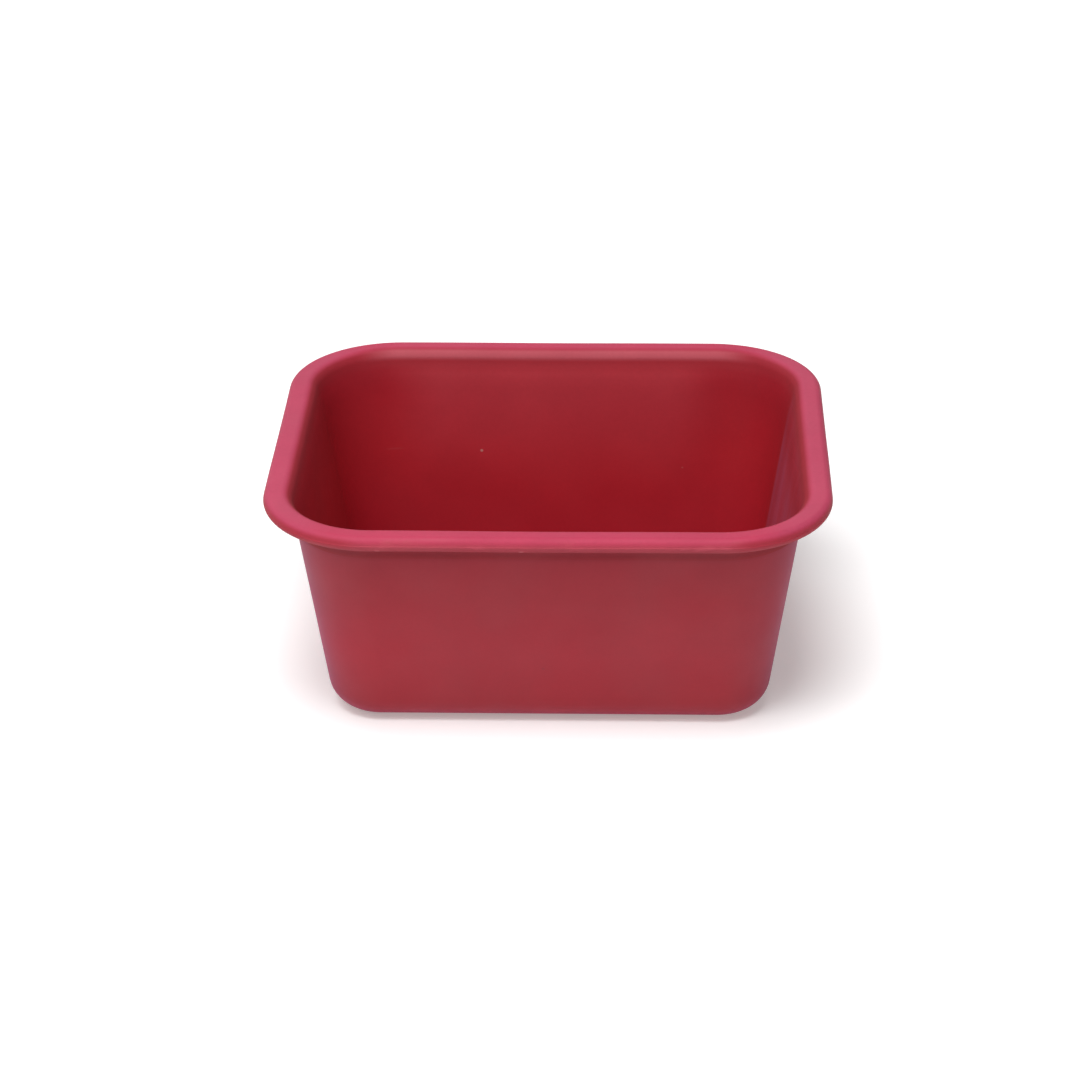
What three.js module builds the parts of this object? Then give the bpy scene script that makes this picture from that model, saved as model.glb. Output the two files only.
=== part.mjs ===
// A soap loaf mould: one moulding of silicone rubber, an open tub with sloping walls, round corners
// and an outward rim with a full-round outer edge. It stands on its flat underside.
//
// Every level of the tub is a rectangle whose corners are rounded about the same four centres, so
// the whole shape is one wall section carried round the rectangle that joins those centres.
// The section's coordinates are the distance out from that rectangle and the height.
//
// Millimetres, +Z up, +X along the longer side. The origin is the middle of the underside.

import * as THREE from "three";

// Driving dimensions.
const LENGTH = 140; // over the rim, along X
const WIDTH = 120; // over the rim, along Y
const HEIGHT = 59;
const CORNER_RADIUS = 28; // of the rim's outer edge, seen from above
const RIM_OVERHANG = 7; // from the outer wall to the rim's outer edge
const RIM_THICKNESS = 4;
const DRAFT = THREE.MathUtils.degToRad(8.6); // lean of every wall from the vertical
const WALL = 1; // measured square to the wall
const FLOOR = 2;
const MOUTH_FLARE = 0.9; // how far the inner wall stands out from its own line at the rim's top
const FLARE_DEPTH = 7; // from the rim's top down to where the inner wall starts to flare

// Radii of the section's corners.
const BASE_EDGE_RADIUS = 8; // underside to outer wall
const RIM_ROOT_RADIUS = 5; // outer wall to the rim's underside
const RIM_EDGE_RADIUS = RIM_THICKNESS / 2; // the rim's outer edge is a half circle
const MOUTH_RADIUS = 3.2; // rim top to inner wall
const FLARE_RADIUS = 40; // inner wall to the flare at its mouth
const INNER_EDGE_RADIUS = BASE_EDGE_RADIUS - WALL; // inner wall to the inside floor

// Steps for curves: three.js makes each arc of a path with twice this many segments.
const SECTION_STEPS = 3;
const PLAN_STEPS = 6;

// Half sides of the rectangle that joins the corner centres.
const CORE_X = LENGTH / 2 - CORNER_RADIUS;
const CORE_Y = WIDTH / 2 - CORNER_RADIUS;

const SILICONE_RED = new THREE.MeshStandardMaterial({
  color: 0x9b2f3a,
  roughness: 0.55,
  metalness: 0,
});

// Distance out from the core rectangle to the outer wall's plane, at a height.
const RIM_UNDERSIDE = HEIGHT - RIM_THICKNESS;
const outerWallAt = (height) =>
  CORNER_RADIUS - RIM_OVERHANG - (RIM_UNDERSIDE - height) * Math.tan(DRAFT);
const innerWallAt = (height) => outerWallAt(height) - WALL / Math.cos(DRAFT);

const FLARE_START = HEIGHT - FLARE_DEPTH;

// The section's corners in order, from the underside round the rim to the inside floor.
const SECTION_CORNERS = [
  { at: [outerWallAt(0), 0], radius: BASE_EDGE_RADIUS },
  { at: [outerWallAt(RIM_UNDERSIDE), RIM_UNDERSIDE], radius: RIM_ROOT_RADIUS },
  { at: [CORNER_RADIUS, RIM_UNDERSIDE], radius: RIM_EDGE_RADIUS },
  { at: [CORNER_RADIUS, HEIGHT], radius: RIM_EDGE_RADIUS },
  { at: [innerWallAt(HEIGHT) + MOUTH_FLARE, HEIGHT], radius: MOUTH_RADIUS },
  { at: [innerWallAt(FLARE_START), FLARE_START], radius: FLARE_RADIUS },
  { at: [innerWallAt(FLOOR), FLOOR], radius: INNER_EDGE_RADIUS },
];

// An open path through the corners, each rounded by an arc. It starts and ends where the first and
// last arcs meet the flat underside and the flat inside floor.
function roundedPath(corners, first, last) {
  const path = new THREE.Path();
  corners.forEach(({ at, radius }, i) => {
    const corner = new THREE.Vector2(...at);
    const before = new THREE.Vector2(...(i ? corners[i - 1].at : first));
    const after = new THREE.Vector2(...(corners[i + 1]?.at ?? last));
    const back = before.sub(corner).normalize();
    const on = after.sub(corner).normalize();
    const half = Math.acos(THREE.MathUtils.clamp(back.dot(on), -1, 1)) / 2;
    const middle = back.clone().add(on).normalize();
    const centre = corner.clone().addScaledVector(middle, radius / Math.sin(half));
    const tangent = radius / Math.tan(half);
    const start = corner.clone().addScaledVector(back, tangent).sub(centre);
    const end = corner.clone().addScaledVector(on, tangent).sub(centre);
    const clockwise = start.cross(end) < 0;
    path.absarc(centre.x, centre.y, radius, start.angle(), end.angle(), clockwise);
  });
  return path;
}

// The outline at a distance out from the core rectangle: four corner arcs and the straights between.
function planOutline(distance) {
  const outline = new THREE.Path();
  const signs = [
    [1, 1],
    [-1, 1],
    [-1, -1],
    [1, -1],
  ];
  signs.forEach(([sx, sy], quarter) => {
    const start = (quarter * Math.PI) / 2;
    outline.absarc(sx * CORE_X, sy * CORE_Y, distance, start, start + Math.PI / 2);
  });
  return outline.getPoints(PLAN_STEPS);
}

// The section carried round the core rectangle, closed by a flat cap on its first and last levels.
function carryRound(section) {
  const levels = section.map(({ x, y }) => planOutline(x).map((p) => [p.x, p.y, y]));
  const around = levels[0].length;
  const index = [];
  for (let level = 0; level < levels.length - 1; level++) {
    for (let i = 0; i < around; i++) {
      const a = level * around + i;
      const b = level * around + ((i + 1) % around);
      index.push(a, b, b + around, a, b + around, a + around);
    }
  }
  const top = (levels.length - 1) * around;
  for (let i = 1; i < around - 1; i++) {
    index.push(0, i + 1, i);
    index.push(top, top + i, top + i + 1);
  }
  const geometry = new THREE.BufferGeometry();
  geometry.setAttribute("position", new THREE.Float32BufferAttribute(levels.flat(2), 3));
  geometry.setIndex(index);
  geometry.computeVertexNormals();
  return geometry;
}

function mouldBody() {
  const section = roundedPath(SECTION_CORNERS, [0, 0], [0, FLOOR]);
  const mesh = new THREE.Mesh(carryRound(section.getPoints(SECTION_STEPS)), SILICONE_RED);
  mesh.name = "mould_body";
  return mesh;
}

const mould = new THREE.Group();
mould.add(mouldBody());

export default mould;
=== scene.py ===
"""A soap loaf mould in silicone rubber: a fine mesh and its material in place of the CAD body.

Lengths are in metres, with +Z up. The mould stands at the origin, and its front faces -Y.
"""

import math

import bpy
from mathutils import Matrix, Vector, noise


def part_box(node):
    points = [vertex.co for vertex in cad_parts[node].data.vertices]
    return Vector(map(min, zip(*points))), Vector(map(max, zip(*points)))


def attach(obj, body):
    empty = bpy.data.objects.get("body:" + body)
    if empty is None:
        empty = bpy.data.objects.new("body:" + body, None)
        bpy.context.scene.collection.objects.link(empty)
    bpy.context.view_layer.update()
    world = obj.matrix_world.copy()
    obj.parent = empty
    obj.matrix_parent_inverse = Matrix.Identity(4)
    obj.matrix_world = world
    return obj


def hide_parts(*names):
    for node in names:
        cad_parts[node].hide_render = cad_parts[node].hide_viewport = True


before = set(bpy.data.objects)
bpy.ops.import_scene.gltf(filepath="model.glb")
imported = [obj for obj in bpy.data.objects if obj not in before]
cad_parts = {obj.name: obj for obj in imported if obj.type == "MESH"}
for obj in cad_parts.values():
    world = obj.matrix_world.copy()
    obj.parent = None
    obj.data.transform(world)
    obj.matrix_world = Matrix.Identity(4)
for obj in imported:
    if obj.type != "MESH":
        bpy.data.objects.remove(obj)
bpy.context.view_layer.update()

MM = 0.001
LOW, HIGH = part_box("mould_body")
LENGTH, WIDTH, HEIGHT = HIGH - LOW

# The CAD body's section, repeated here: the fine body is the same shape with more points.
CORNER_RADIUS = 28 * MM
RIM_OVERHANG = 7 * MM
RIM_THICKNESS = 4 * MM
DRAFT = math.radians(8.6)
WALL = 1 * MM
FLOOR = 2 * MM
MOUTH_FLARE = 0.9 * MM
FLARE_DEPTH = 7 * MM
BASE_EDGE_RADIUS = 8 * MM
RIM_ROOT_RADIUS = 5 * MM
RIM_EDGE_RADIUS = RIM_THICKNESS / 2
MOUTH_RADIUS = 3.2 * MM
FLARE_RADIUS = 40 * MM
INNER_EDGE_RADIUS = BASE_EDGE_RADIUS - WALL

RIM_UNDERSIDE = HEIGHT - RIM_THICKNESS
FLARE_START = HEIGHT - FLARE_DEPTH

# Half sides of the core rectangle, which joins the centres of the plan's round corners.
CORE_X = LENGTH / 2 - CORNER_RADIUS
CORE_Y = WIDTH / 2 - CORNER_RADIUS

# Fineness of the mesh.
SECTION_STEP = 0.9 * MM
SECTION_ARC_STEP = math.radians(7)
PLAN_STEP = 1.6 * MM
PLAN_ARC_STEPS = 24
CAP_RINGS = 8

# Points whose heights differ by less than this are level.
SAME_LEVEL = 0.001 * MM

# Soft rubber is never quite true: its walls wander by this much at the rim, and not at the base.
WANDER = 0.15 * MM
WANDER_LENGTH = 45 * MM
WANDER_SEED = 1

# Looks go by the distance along the section, kept in this attribute: 0 in the middle of the rim's
# top, below 0 on the outside and above 0 on the inside. The outer wall is chalky up to CHALK_END.
ALONG = "past_rim_top"
CHALK_END = -15.7 * MM


# ---- shape ----


def outer_wall_at(height):
    """Distance out from the core rectangle to the outer wall's plane, at a height."""
    return CORNER_RADIUS - RIM_OVERHANG - (RIM_UNDERSIDE - height) * math.tan(DRAFT)


def inner_wall_at(height):
    return outer_wall_at(height) - WALL / math.cos(DRAFT)


def section_corners():
    """The section's corners in order, from the underside round the rim to the inside floor."""
    return [
        (Vector((outer_wall_at(0), 0)), BASE_EDGE_RADIUS),
        (Vector((outer_wall_at(RIM_UNDERSIDE), RIM_UNDERSIDE)), RIM_ROOT_RADIUS),
        (Vector((CORNER_RADIUS, RIM_UNDERSIDE)), RIM_EDGE_RADIUS),
        (Vector((CORNER_RADIUS, HEIGHT)), RIM_EDGE_RADIUS),
        (Vector((inner_wall_at(HEIGHT) + MOUTH_FLARE, HEIGHT)), MOUTH_RADIUS),
        (Vector((inner_wall_at(FLARE_START), FLARE_START)), FLARE_RADIUS),
        (Vector((inner_wall_at(FLOOR), FLOOR)), INNER_EDGE_RADIUS),
    ]


def rounded_corner(corner, before, after, radius):
    """Points of the arc that rounds one corner of a path."""
    back = (before - corner).normalized()
    on = (after - corner).normalized()
    half = back.angle(on) / 2
    centre = corner + (back + on).normalized() * (radius / math.sin(half))
    start = corner + back * (radius / math.tan(half)) - centre
    turn = math.copysign(math.pi - 2 * half, -back.cross(on))
    steps = math.ceil(abs(turn) / SECTION_ARC_STEP)
    return [centre + Matrix.Rotation(turn * i / steps, 2) @ start for i in range(steps + 1)]


def extend_straight(path, point):
    """Adds points between the path's end and the next point where they lie far apart."""
    start = path[-1].copy()
    steps = math.ceil((point - start).length / SECTION_STEP)
    path.extend(start.lerp(point, i / steps) for i in range(1, steps))


def section_points():
    """The wall's section, as points (distance out from the core rectangle, height)."""
    corners = section_corners()
    path = []
    for i, (corner, radius) in enumerate(corners):
        before = corners[i - 1][0] if i else Vector((0, 0))
        after = corners[i + 1][0] if i + 1 < len(corners) else Vector((0, FLOOR))
        for point in rounded_corner(corner, before, after, radius):
            if path:
                extend_straight(path, point)
            path.append(point)
    return path


def past_rim_top(section):
    """Each point's distance along the section past the middle of the rim's top."""
    along = [0]
    for before, point in zip(section, section[1:]):
        along.append(along[-1] + (point - before).length)
    top = [a for a, point in zip(along, section) if point.y > HEIGHT - SAME_LEVEL]
    middle = (top[0] + top[-1]) / 2
    return [a - middle for a in along]


def plan_outline(distance):
    """Points round the rounded rectangle at a distance out from the core rectangle."""
    signs = ((1, 1), (-1, 1), (-1, -1), (1, -1))
    centres = [Vector((sx * CORE_X, sy * CORE_Y)) for sx, sy in signs]
    outline = []
    for quarter, centre in enumerate(centres):
        for i in range(PLAN_ARC_STEPS + 1):
            angle = (quarter + i / PLAN_ARC_STEPS) * math.pi / 2
            outline.append(centre + distance * Vector((math.cos(angle), math.sin(angle))))
        side = centres[(quarter + 1) % 4] - centre
        steps = math.ceil(side.length / PLAN_STEP)
        end = outline[-1]
        outline.extend(end + side * (i / steps) for i in range(1, steps))
    return outline


def wander(point):
    """Moves a point by the slow unevenness of soft rubber, none at the base and most at the rim."""
    share = (point.z / HEIGHT) ** 2
    return point + noise.noise_vector(point / WANDER_LENGTH) * WANDER * share


def level_at(distance, height, size=1):
    """One closed ring of the body. A size below 1 draws it in towards the middle, for a cap."""
    return [wander(Vector((x * size, y * size, height))) for x, y in plan_outline(distance)]


def body_mesh():
    """The section carried round the core rectangle, with the underside and inside floor closed."""
    noise.seed_set(WANDER_SEED)
    section = section_points()
    along = past_rim_top(section)
    sizes = [ring / CAP_RINGS for ring in range(1, CAP_RINGS)]
    underside = [level_at(*section[0], size) for size in sizes]
    wall = [level_at(*point) for point in section]
    inside_floor = [level_at(*section[-1], size) for size in reversed(sizes)]
    levels = underside + wall + inside_floor
    level_along = [along[0]] * len(sizes) + along + [along[-1]] * len(sizes)
    around = len(levels[0])

    faces = []
    for level in range(len(levels) - 1):
        for i in range(around):
            a = level * around + i
            b = level * around + (i + 1) % around
            faces.append((a, b, b + around, a + around))
    top = (len(levels) - 1) * around
    low_middle = len(levels) * around
    high_middle = low_middle + 1
    for i in range(around):
        j = (i + 1) % around
        faces.append((j, i, low_middle))
        faces.append((top + i, top + j, high_middle))

    verts = [point for level in levels for point in level]
    verts += [Vector((0, 0, 0)), Vector((0, 0, FLOOR))]
    mesh = bpy.data.meshes.new("silicone_body")
    mesh.from_pydata(verts, [], faces)
    mesh.shade_smooth()

    vertex_along = [a for a in level_along for _ in range(around)] + [along[0], along[-1]]
    mesh.attributes.new(ALONG, "FLOAT", "POINT").data.foreach_set("value", vertex_along)
    for face in mesh.polygons:
        face.material_index = int(max(vertex_along[v] for v in face.vertices) > CHALK_END)
    return mesh


# ---- material ----


def node(tree, kind, inputs, **settings):
    """Adds a node, sets its properties, and gives each input a value or a link from a socket."""
    made = tree.nodes.new("ShaderNode" + kind)
    for name, value in settings.items():
        setattr(made, name, value)
    for name, value in inputs.items():
        if isinstance(value, bpy.types.NodeSocket):
            tree.links.new(value, made.inputs[name])
        else:
            made.inputs[name].default_value = value
    return made


def smooth_step(tree, value, low, high, at_low=0, at_high=1):
    """A value that goes smoothly from at_low to at_high as the given value goes from low to high."""
    inputs = {"Value": value, "From Min": low, "From Max": high, "To Min": at_low, "To Max": at_high}
    return node(tree, "MapRange", inputs, interpolation_type="SMOOTHSTEP").outputs["Result"]


def product(tree, value, *others):
    for other in others:
        value = node(tree, "Math", {0: value, 1: other}, operation="MULTIPLY").outputs[0]
    return value


def band(tree, value, start, full, fading, end):
    """A share that rises from start to full, and falls again from fading to end."""
    rise = smooth_step(tree, value, start, full)
    return product(tree, rise, smooth_step(tree, value, fading, end, 1, 0))


def axis(tree, place, name):
    """A place's coordinate along X, Y or Z."""
    return node(tree, "SeparateXYZ", {0: place}).outputs[name]


def off_middle(tree, place, name):
    """A place's distance from the mould's middle along X or Y, to either side."""
    return node(tree, "Math", {0: axis(tree, place, name)}, operation="ABSOLUTE").outputs[0]


def blotches(tree, place, size, detail=2):
    """Noise from 0 to 1 with features of a size in metres, or of one size along each axis."""
    if isinstance(size, tuple):
        stretch = Vector([1 / s for s in size])
        place = node(tree, "VectorMath", {0: place, 1: stretch}, operation="MULTIPLY").outputs[0]
        size = 1
    inputs = {"Vector": place, "Scale": 1 / size, "Detail": detail, "Roughness": 0.5}
    return node(tree, "TexNoise", inputs).outputs["Fac"]


# Most of the noise lies between these values.
NOISE_LOW = 0.3
NOISE_HIGH = 0.7


def mottled(tree, place, size, low, high, detail=2):
    """Smooth blotches of a size, between a low and a high value."""
    noisy = blotches(tree, place, size, detail)
    return smooth_step(tree, noisy, NOISE_LOW, NOISE_HIGH, low, high)


def blend(tree, factor, colour, other, how="MIX"):
    """Mixes a share of another colour into a colour."""
    made = node(tree, "Mix", {0: factor, 6: colour, 7: other}, data_type="RGBA", blend_type=how)
    return made.outputs[2]


# Base colour and roughness of the silicone, by distance past the middle of the rim's top. The rim is
# chalky, and pinker partly by painted reflection of the light from above. The colour is deepest in
# the crease under the rim and in the mouth's rounding, which is painted shade; these are also the
# dullest places. The inside is smoother than the outside.
SECTION_FINISH_AND_PAINTED_SHADE = (
    (-60 * MM, (0.31, 0.006, 0.012), 0.66),
    (-46 * MM, (0.33, 0.008, 0.016), 0.66),
    (-24 * MM, (0.31, 0.008, 0.016), 0.66),
    (-17 * MM, (0.29, 0.009, 0.018), 0.7),
    # Painted shade: the crease under the rim and the rim's underside.
    (-14.7 * MM, (0.21, 0.012, 0.021), 0.88),
    (-7.2 * MM, (0.22, 0.008, 0.017), 0.92),
    (-6.2 * MM, (0.24, 0.011, 0.022), 0.85),
    # Painted sheen: a paler, bluer band on the rim's outer rounding.
    (-4.2 * MM, (0.37, 0.033, 0.057), 0.67),
    # The rim's top: pinker, partly painted reflection of the light from above.
    (-2.7 * MM, (0.44, 0.025, 0.074), 0.66),
    (1.2 * MM, (0.43, 0.028, 0.076), 0.66),
    # Painted shade in the mouth's rounding.
    (2.4 * MM, (0.37, 0.019, 0.048), 0.75),
    (3.4 * MM, (0.29, 0.010, 0.023), 0.85),
    (5.2 * MM, (0.32, 0.009, 0.020), 0.8),
    (8 * MM, (0.34, 0.010, 0.021), 0.52),
    (16 * MM, (0.37, 0.011, 0.021), 0.5),
    (30 * MM, (0.38, 0.011, 0.020), 0.5),
    (52 * MM, (0.34, 0.008, 0.018), 0.5),
)


def section_finish_and_painted_shade(tree, along):
    """The base colour, with painted shade and reflection, and the roughness at a distance along the
    section.
    """
    start = SECTION_FINISH_AND_PAINTED_SHADE[0][0]
    reach = SECTION_FINISH_AND_PAINTED_SHADE[-1][0] - start
    share = node(tree, "MapRange", {"Value": along, "From Min": start, "From Max": start + reach})
    ramp = node(tree, "ValToRGB", {"Fac": share.outputs["Result"]})
    stops = ramp.color_ramp.elements
    while len(stops) < len(SECTION_FINISH_AND_PAINTED_SHADE):
        stops.new(0.5)
    # All the stops are in place before any is coloured, in case a move changes their order.
    for stop, (at, _, _) in zip(stops, SECTION_FINISH_AND_PAINTED_SHADE):
        stop.position = (at - start) / reach
    for stop, (_, colour, roughness) in zip(stops, SECTION_FINISH_AND_PAINTED_SHADE):
        stop.color = (*colour, roughness)
    return ramp.outputs["Color"], ramp.outputs["Alpha"]


# Base colours laid over the section's colours: painted light and reflection on the far inner wall, a
# painted highlight along the far side of the mouth, painted reflection on the right-hand inner wall,
# the paler ends of the rim, pale rubbed patches on the rim's edge, and painted shade on that edge
# round the corners.
FAR_WALL_PAINTED_LIGHT = (0.44, 0.031, 0.046, 1)
LIP_PAINTED_HIGHLIGHT = (0.43, 0.066, 0.090, 1)
END_WALL_PAINTED_REFLECTION = (0.38, 0.055, 0.102, 1)
PALER_RIM_END = (0.42, 0.038, 0.089, 1)
RUBBED = (0.43, 0.045, 0.075, 1)
CORNER_PAINTED_SHADE = (0.335, 0.0135, 0.032, 1)


def far_wall_painted_light(tree, place, along):
    """Share of the painted light and reflection on the far inner wall: most near the rim, none in
    the corners.
    """
    inside = smooth_step(tree, along, 4.5 * MM, 10 * MM)
    high = smooth_step(tree, along, 8 * MM, 45 * MM, 1, 0)
    far = smooth_step(tree, axis(tree, place, "Y"), CORE_Y, 1.2 * CORE_Y)
    middle = smooth_step(tree, off_middle(tree, place, "X"), 0.7 * CORE_X, 1.15 * CORE_X, 1, 0)
    return product(tree, inside, high, far, middle)


def far_lip_painted_highlight(tree, place, along):
    """Share of the painted highlight along the far side of the mouth."""
    lip = band(tree, along, 2.1 * MM, 3.3 * MM, 4.4 * MM, 6 * MM)
    far = smooth_step(tree, axis(tree, place, "Y"), CORE_Y, 1.3 * CORE_Y)
    middle = smooth_step(tree, off_middle(tree, place, "X"), CORE_X, 1.3 * CORE_X, 1, 0)
    return product(tree, lip, far, middle)


def end_wall_painted_reflection(tree, place, along):
    """Share of the painted reflection, in upright streaks, on the flat of the right-hand inner wall.
    """
    inside = smooth_step(tree, along, 4 * MM, 8 * MM)
    right = smooth_step(tree, axis(tree, place, "X"), 1.12 * CORE_X, 1.3 * CORE_X)
    flat = smooth_step(tree, axis(tree, place, "Y"), CORE_Y - 2 * MM, CORE_Y, 1, 0)
    low = smooth_step(tree, axis(tree, place, "Z"), 40 * MM, 52 * MM, 1, 0.3)
    upright_streaks = mottled(tree, place, (40 * MM, 4 * MM, 50 * MM), 0.6, 1)
    return product(tree, inside, right, flat, low, upright_streaks)


def paler_rim_ends(tree, place, along):
    """Share of the paler, bluer colour on the rim at the mould's two ends."""
    rim = band(tree, along, -5 * MM, -2.2 * MM, 1.5 * MM, 3.5 * MM)
    ends = smooth_step(tree, off_middle(tree, place, "X"), 1.2 * CORE_X, 1.45 * CORE_X)
    return product(tree, rim, ends)


def rubbed_edge(tree, place, along):
    """Share of the pale patches rubbed on the rim's outer edge."""
    edge = band(tree, along, -5.6 * MM, -4.4 * MM, -3.6 * MM, -2 * MM)
    patches = blotches(tree, place, (9 * MM, 9 * MM, 3 * MM), 4)
    return product(tree, edge, smooth_step(tree, patches, 0.52, 0.72))


def corner_painted_shade(tree, place, along):
    """Share of the painted shade that darkens the rim's outer edge round the four corners."""
    edge = band(tree, along, -5.6 * MM, -4.6 * MM, -3.8 * MM, -2.2 * MM)
    past_x = smooth_step(tree, off_middle(tree, place, "X"), CORE_X, 1.2 * CORE_X)
    past_y = smooth_step(tree, off_middle(tree, place, "Y"), 0.9 * CORE_Y, 1.2 * CORE_Y)
    return product(tree, edge, past_x, past_y)


# The shares and their colours, each laid over the ones before. The pigment's mottling shows through
# the painted light and the paler rim ends, and the rubbed wear and the painted shade cover it.
PAINTED_LIGHT_AND_PALE_ENDS = ((far_wall_painted_light, FAR_WALL_PAINTED_LIGHT), (far_lip_painted_highlight, LIP_PAINTED_HIGHLIGHT), (end_wall_painted_reflection, END_WALL_PAINTED_REFLECTION), (paler_rim_ends, PALER_RIM_END))
WEAR_AND_PAINTED_SHADE = ((rubbed_edge, RUBBED), (corner_painted_shade, CORNER_PAINTED_SHADE))


# Small marks: centre, half lengths along the axes, colour, and the share of that colour. Each fades
# out between these shares of its half lengths.
MARK_FADES = 0.5
MARK_ENDS = 1.1
MARKS = (
    (Vector((-20.5, 48, 31.5)) * MM, Vector((0.5, 2, 0.45)) * MM, (0.45, 0.2, 0.18), 0.9),
    (Vector((34, 47, 27)) * MM, Vector((0.4, 2, 0.3)) * MM, (0.4, 0.1, 0.1), 0.5),
    (Vector((-44, 48, 32)) * MM, Vector((3, 2, 0.35)) * MM, (0.4, 0.05, 0.06), 0.3),
    (Vector((-1, -47, 17)) * MM, Vector((0.5, 2, 0.4)) * MM, (0.2, 0.01, 0.02), 0.5),
    (Vector((-5.5, -59, 55.6)) * MM, Vector((0.8, 2, 0.35)) * MM, (0.5, 0.12, 0.14), 0.5),
    (Vector((-40, -59, 55.6)) * MM, Vector((0.8, 2, 0.35)) * MM, (0.5, 0.1, 0.12), 0.4),
)


def marked(tree, place, colour):
    """A colour with the small marks added."""
    for centre, half, tint, share in MARKS:
        away = node(tree, "VectorMath", {0: place, 1: centre}, operation="SUBTRACT").outputs[0]
        scaled = node(tree, "VectorMath", {0: away, 1: half}, operation="DIVIDE").outputs[0]
        reach = node(tree, "VectorMath", {0: scaled}, operation="LENGTH").outputs["Value"]
        spot = smooth_step(tree, reach, MARK_FADES, MARK_ENDS, share, 0)
        colour = blend(tree, spot, colour, (*tint, 1))
    return colour


# Unevenness of the pigment and of the roughness: feature size, least and most, and detail.
MOTTLING = (14 * MM, 0.965, 1.03, 2)
SPECKLE = (0.9 * MM, 0.98, 1.02, 3)
POLISH = (16 * MM, 0.94, 1.06, 3)

# The moulded skin: feature size and height of its slow waves, and of the grain on top.
WAVE_SIZE = 7 * MM
WAVE_HEIGHT = 0.05 * MM
GRAIN_SIZE = 0.35 * MM
GRAIN_HEIGHT = 0.004 * MM

# The chalky skin of the outer wall scatters a little more light at a slant than the rest.
CHALKY_SHEEN = 0.16
SHEEN_ROUGHNESS = 0.5
SHEEN_TINT = (0.5, 0.4, 1.0, 1)
SILICONE_IOR = 1.45


def skin_normal(tree, place):
    waves = blotches(tree, place, WAVE_SIZE, 1)
    wavy = node(tree, "Bump", {"Strength": 1, "Distance": WAVE_HEIGHT, "Height": waves}).outputs[0]
    grain = blotches(tree, place, GRAIN_SIZE)
    inputs = {"Strength": 1, "Distance": GRAIN_HEIGHT, "Height": grain, "Normal": wavy}
    return node(tree, "Bump", inputs).outputs[0]


def silicone(name, sheen):
    material = bpy.data.materials.new(name)
    material.use_nodes = True
    tree = material.node_tree
    inputs = tree.nodes["Principled BSDF"].inputs
    place = node(tree, "TexCoord", {}).outputs["Object"]
    along = node(tree, "Attribute", {}, attribute_name=ALONG).outputs["Fac"]

    # The section's colours hold painted shade in the crease and mouth, and painted reflection on the
    # rim.
    colour, roughness = section_finish_and_painted_shade(tree, along)
    # Painted light, highlight and reflection on the inner walls, and the paler rim ends.
    for share_of, laid_colour in PAINTED_LIGHT_AND_PALE_ENDS:
        colour = blend(tree, share_of(tree, place, along), colour, laid_colour)
    shade = product(tree, mottled(tree, place, *MOTTLING), mottled(tree, place, *SPECKLE))
    grey = node(tree, "CombineColor", {channel: shade for channel in range(3)}).outputs[0]
    colour = blend(tree, 1, colour, grey, "MULTIPLY")
    # Rubbed wear on the rim's edge, and painted shade on that edge round the corners.
    for share_of, top_layer in WEAR_AND_PAINTED_SHADE:
        colour = blend(tree, share_of(tree, place, along), colour, top_layer)
    tree.links.new(marked(tree, place, colour), inputs["Base Color"])

    roughness = product(tree, roughness, mottled(tree, place, *POLISH))
    tree.links.new(roughness, inputs["Roughness"])
    tree.links.new(skin_normal(tree, place), inputs["Normal"])

    inputs["IOR"].default_value = SILICONE_IOR
    inputs["Sheen Weight"].default_value = sheen
    inputs["Sheen Roughness"].default_value = SHEEN_ROUGHNESS
    inputs["Sheen Tint"].default_value = SHEEN_TINT
    return material


def make_body():
    """The fine body. Its first material is for the chalky outer wall, its second for the rest."""
    body = bpy.data.objects.new("silicone_body", body_mesh())
    bpy.context.scene.collection.objects.link(body)
    body.data.materials.append(silicone("chalky_silicone", CHALKY_SHEEN))
    body.data.materials.append(silicone("clean_silicone", 0))
    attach(body, "root")
    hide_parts("mould_body")


# ---- studio ----

# The camera stands a little right of the front, and looks down at the mould. Its lens and sensor
# are in millimetres. The mould's middle is a little right of and above the picture's.
CAMERA_AZIMUTH = math.radians(2.09)
CAMERA_ELEVATION = math.radians(26.8)
CAMERA_ROLL = math.radians(-0.6)
CAMERA_DISTANCE = 6 * LENGTH
CAMERA_LENS = 108.3
CAMERA_SENSOR = 36
AIM_RIGHT = 0.0225 * LENGTH
AIM_UP = 0.0044 * LENGTH


def direction(azimuth, elevation):
    """The unit vector at an azimuth, counted from the front to the right, and an elevation."""
    across = math.cos(elevation)
    return Vector((math.sin(azimuth) * across, -math.cos(azimuth) * across, math.sin(elevation)))


def make_camera():
    data = bpy.data.cameras.new("camera")
    data.sensor_width = CAMERA_SENSOR
    data.lens = CAMERA_LENS
    camera = bpy.data.objects.new("camera", data)
    bpy.context.scene.collection.objects.link(camera)
    back = direction(CAMERA_AZIMUTH, CAMERA_ELEVATION)
    level_right = Vector((math.cos(CAMERA_AZIMUTH), math.sin(CAMERA_AZIMUTH), 0))
    right = Matrix.Rotation(CAMERA_ROLL, 3, back) @ level_right
    up = back.cross(right)
    centre = Vector((0, 0, HEIGHT / 2))
    camera.matrix_world = Matrix((right, up, back)).transposed().to_4x4()
    camera.location = centre + back * CAMERA_DISTANCE - right * AIM_RIGHT - up * AIM_UP
    bpy.context.scene.camera = camera


# The floor is a wide sheet just clear of the underside. It glows faintly near the mould, to weaken
# the mould's shadow. The glow grows between these distances out, where the softboxes' light ends.
FLOOR_SIZE = 12
FLOOR_GAP = 0.1 * MM
FLOOR_COLOUR = (0.85, 0.85, 0.85, 1)
FLOOR_ROUGHNESS = 0.8
GLOW_START = 0.4
GLOW_END = 1.2
NEAR_GLOW = 0.3
FAR_GLOW = 1


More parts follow.
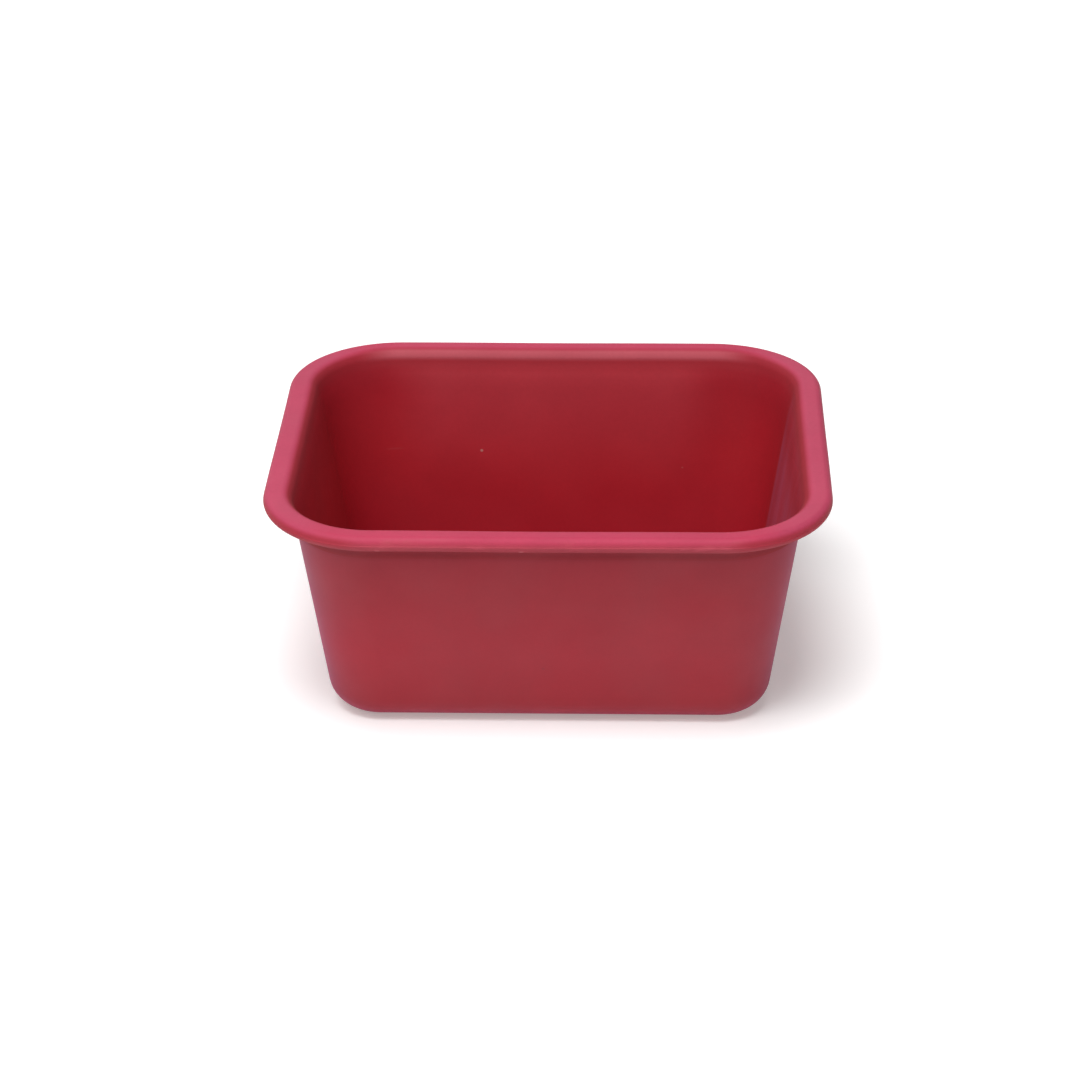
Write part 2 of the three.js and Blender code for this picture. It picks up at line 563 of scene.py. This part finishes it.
def pale_floor():
    material = bpy.data.materials.new("pale_floor")
    material.use_nodes = True
    tree = material.node_tree
    inputs = tree.nodes["Principled BSDF"].inputs
    place = node(tree, "TexCoord", {}).outputs["Object"]
    away = node(tree, "VectorMath", {0: place}, operation="LENGTH").outputs["Value"]
    glow = smooth_step(tree, away, GLOW_START, GLOW_END, NEAR_GLOW, FAR_GLOW)
    tree.links.new(glow, inputs["Emission Strength"])
    inputs["Emission Color"].default_value = (1, 1, 1, 1)
    inputs["Base Color"].default_value = FLOOR_COLOUR
    inputs["Roughness"].default_value = FLOOR_ROUGHNESS
    return material


def make_floor():
    bpy.ops.mesh.primitive_plane_add(size=FLOOR_SIZE, location=(0, 0, -FLOOR_GAP))
    floor = bpy.context.object
    floor.name = "floor"
    floor.data.materials.append(pale_floor())


# Square softboxes at one distance from the mould: azimuth and elevation in degrees, side in metres,
# power in watts.
LIGHT_DISTANCE = 1
SOFTBOXES = {
    "overhead": (-12, 74, 0.5, 9.0),
    "front_left": (-40, 50, 0.6, 2.3),
    "back": (180, 30, 0.6, 1.2),
    "back_left": (-140, 30, 0.6, 1.2),
}


def make_softbox(name, azimuth, elevation, side, power):
    data = bpy.data.lights.new(name, "AREA")
    data.size = side
    data.energy = power
    light = bpy.data.objects.new(name, data)
    bpy.context.scene.collection.objects.link(light)
    towards = direction(math.radians(azimuth), math.radians(elevation))
    light.location = towards * LIGHT_DISTANCE
    light.rotation_euler = towards.to_track_quat("Z", "Y").to_euler()


# The white world's brightness as a light, and as the backdrop above the floor in low views.
WORLD_LIGHT = 0.15
WORLD_BACKDROP = 1


def make_world():
    world = bpy.data.worlds.new("studio")
    world.use_nodes = True
    tree = world.node_tree
    seen = node(tree, "LightPath", {}).outputs["Is Camera Ray"]
    strength = smooth_step(tree, seen, 0, 1, WORLD_LIGHT, WORLD_BACKDROP)
    tree.nodes["Background"].inputs["Color"].default_value = (1, 1, 1, 1)
    tree.links.new(strength, tree.nodes["Background"].inputs["Strength"])
    bpy.context.scene.world = world


make_camera()
make_floor()
make_world()
for softbox, values in SOFTBOXES.items():
    make_softbox(softbox, *values)
make_body()
bpy.context.scene.view_settings.view_transform = "Standard"
